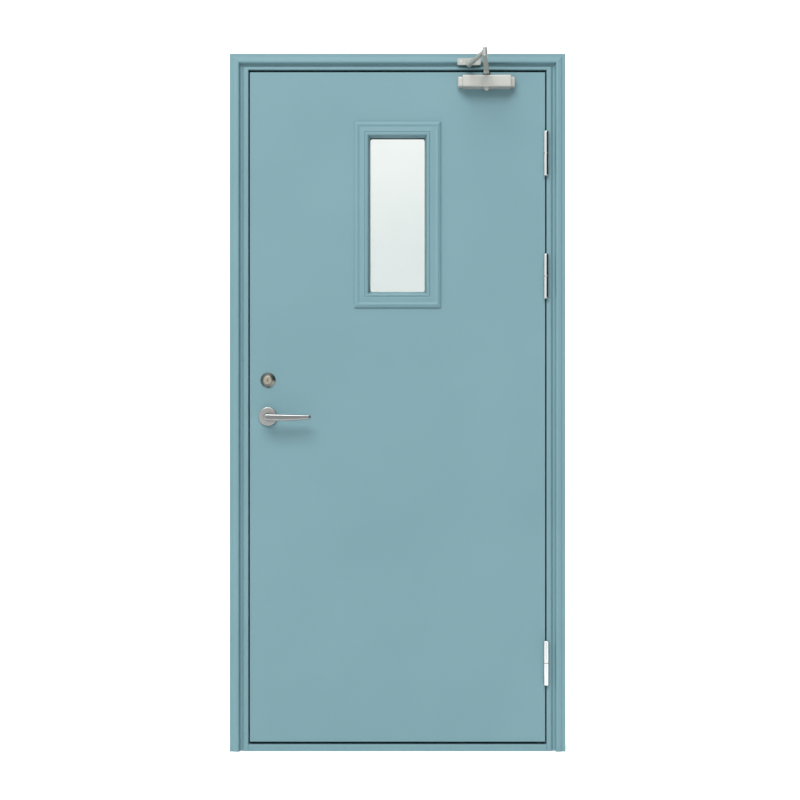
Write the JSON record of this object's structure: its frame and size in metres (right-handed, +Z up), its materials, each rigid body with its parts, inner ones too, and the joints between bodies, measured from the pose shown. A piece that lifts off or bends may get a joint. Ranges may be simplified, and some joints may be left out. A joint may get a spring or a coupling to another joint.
{
  "type": "fire door",
  "caption": "Hinged steel fire door in its folded steel frame, with a vision panel, lever lock, deadbolt, lift-off hinges and an overhead arm closer.",
  "frame": {"origin": "on the floor under the sill, midway between the jambs, in the middle plane of the closed leaf", "axes": "+Z up, +X towards the hinge side, -Y towards the side that the leaf opens to"},
  "size_m": [1.01, 0.333, 2.1],
  "materials": {
    "painted_steel": "satin",
    "stainless_steel": "satin",
    "zinc_plated_steel": "satin",
    "silver_painted_steel": "satin",
    "cast_aluminium": "satin",
    "bearing_bronze": "satin",
    "nickel_plated_brass": "satin",
    "seal_rubber": "matte",
    "hard_plastic": "matte",
    "mineral_core": "matte",
    "fire_glass": "gloss"
  },
  "bodies": {
    "frame": {"frame_hinge_jamb": "painted_steel", "frame_lock_jamb": "painted_steel", "frame_head": "painted_steel", "sill": "painted_steel", "frame_hinges": "stainless_steel", "strike_plate": "stainless_steel", "frame_seal": "seal_rubber", "hinge_washers": "bearing_bronze", "hinge_pins": "zinc_plated_steel", "hinge_backing_plates": "zinc_plated_steel", "frame_hinge_screws": "zinc_plated_steel", "strike_box": "zinc_plated_steel", "strike_screws": "zinc_plated_steel", "shoe_screws": "zinc_plated_steel", "closer_shoe": "silver_painted_steel"},
    "leaf": {"leaf_front_skin": "painted_steel", "leaf_back_skin": "painted_steel", "front_glazing_frame": "painted_steel", "back_glazing_frame": "painted_steel", "leaf_core": "mineral_core", "hinge_stile": "zinc_plated_steel", "lock_stile": "zinc_plated_steel", "top_channel": "zinc_plated_steel", "bottom_channel": "zinc_plated_steel", "closer_backing_plate": "zinc_plated_steel", "aperture_lining": "zinc_plated_steel", "leaf_hinge_screws": "zinc_plated_steel", "lock_case": "zinc_plated_steel", "faceplate_screws": "zinc_plated_steel", "closer_spring": "zinc_plated_steel", "closer_bore_plugs": "zinc_plated_steel", "closer_screws": "zinc_plated_steel", "glass_pane": "fire_glass", "glazing_gaskets": "seal_rubber", "setting_blocks": "hard_plastic", "leaf_hinges": "stainless_steel", "lock_faceplate": "stainless_steel", "front_rose": "stainless_steel", "back_rose": "stainless_steel", "front_escutcheon": "stainless_steel", "back_escutcheon": "stainless_steel", "cylinder_housing": "nickel_plated_brass", "closer_body": "cast_aluminium", "closer_end_caps": "cast_aluminium", "closer_bottom_cap": "cast_aluminium"},
    "lever_set": {"front_lever": "stainless_steel", "back_lever": "stainless_steel", "lever_spindle": "zinc_plated_steel", "lever_follower": "zinc_plated_steel"},
    "latch": {"latch_bolt": "stainless_steel"},
    "cylinder_core": {"key_plug": "nickel_plated_brass", "cylinder_cam": "zinc_plated_steel", "thumbturn": "stainless_steel"},
    "deadbolt": {"deadbolt": "stainless_steel"},
    "main_arm": {"closer_pinion": "zinc_plated_steel", "arm_nut": "zinc_plated_steel", "closer_main_arm": "silver_painted_steel"},
    "forearm": {"closer_forearm": "silver_painted_steel", "elbow_post": "zinc_plated_steel"},
    "piston": {"closer_piston": "zinc_plated_steel"}
  },
  "joints": [
    {"name": "leaf_swing", "type": "hinge", "parent": "frame", "child": "leaf", "pos_m": [0.447, -0.0345, 0], "axis": [0, 0, 1], "range_deg": [0, 90], "stiffness_Nm_per_rad": 12, "springref_deg": -68.75},
    {"name": "lever_turn", "type": "hinge", "parent": "leaf", "child": "lever_set", "pos_m": [-0.39, 0, 1.008], "axis": [0, 1, 0], "range_deg": [0, 45], "stiffness_Nm_per_rad": 1.5, "springref_deg": -34.38},
    {"name": "latch_slide", "type": "slide", "parent": "leaf", "child": "latch", "axis": [1, 0, 0], "range_m": [0, 0.012]},
    {"name": "cylinder_turn", "type": "hinge", "parent": "leaf", "child": "cylinder_core", "pos_m": [-0.39, 0, 1.117], "axis": [0, 1, 0], "range_deg": [0, 90]},
    {"name": "deadbolt_slide", "type": "slide", "parent": "leaf", "child": "deadbolt", "axis": [-1, 0, 0], "range_m": [0, 0.02]},
    {"name": "main_arm_turn", "type": "hinge", "parent": "leaf", "child": "main_arm", "pos_m": [0.267, -0.045, 0], "axis": [0, 0, 1], "range_deg": [-168.68, 0]},
    {"name": "forearm_turn", "type": "hinge", "parent": "frame", "child": "forearm", "pos_m": [0.215, -0.06, 0], "axis": [0, 0, 1], "range_deg": [0, 3.91]},
    {"name": "piston_slide", "type": "slide", "parent": "leaf", "child": "piston", "axis": [-1, 0, 0], "range_m": [0, 0.0265], "deforming": ["closer_spring"]}
  ],
  "couplings": [
    {"joint": "latch_slide", "follows": "lever_turn", "m_per_rad": 0.015278},
    {"joint": "cylinder_turn", "follows": "deadbolt_slide", "rad_per_m": 78.54},
    {"joint": "main_arm_turn", "follows": "leaf_swing", "ratio": -1.8741},
    {"joint": "forearm_turn", "follows": "leaf_swing", "ratio": 0.04333},
    {"joint": "piston_slide", "follows": "leaf_swing", "m_per_rad": 0.016867}
  ]
}
